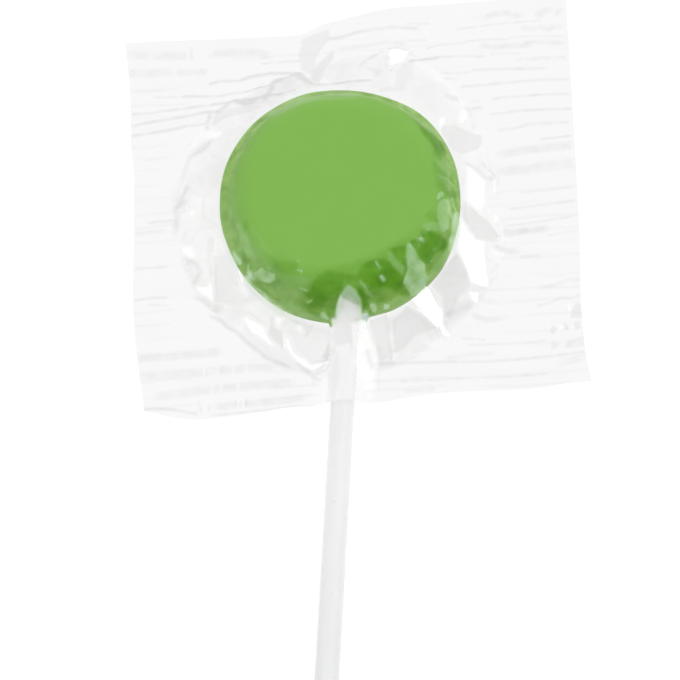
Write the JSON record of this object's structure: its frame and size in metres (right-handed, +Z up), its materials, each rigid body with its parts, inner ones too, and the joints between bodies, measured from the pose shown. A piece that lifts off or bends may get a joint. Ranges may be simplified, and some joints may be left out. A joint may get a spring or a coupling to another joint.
{
  "type": "wrapped lollipop",
  "caption": "Round flat green fruit lollipop on a straight white stick, sealed in a roughly square clear film wrapper with crimped margins.",
  "frame": {"origin": "middle of the flat back of the wrapper's pocket, which the part rests on, straight below the centre of the candy disc", "axes": "+Z up out of the shown face, along the candy disc's axis; +Y from the stick's free end towards the candy; +X to the right as seen with the stick pointing down"},
  "size_m": [0.0726, 0.1145, 0.0134],
  "materials": {
    "candy": "glossy, slightly see-through boiled sugar",
    "stick": "smooth satin white",
    "film": "clear glossy crumpled film"
  },
  "bodies": {
    "root": {"candy": "candy", "stick": "stick", "wrapper": "film"}
  },
  "joints": []
}
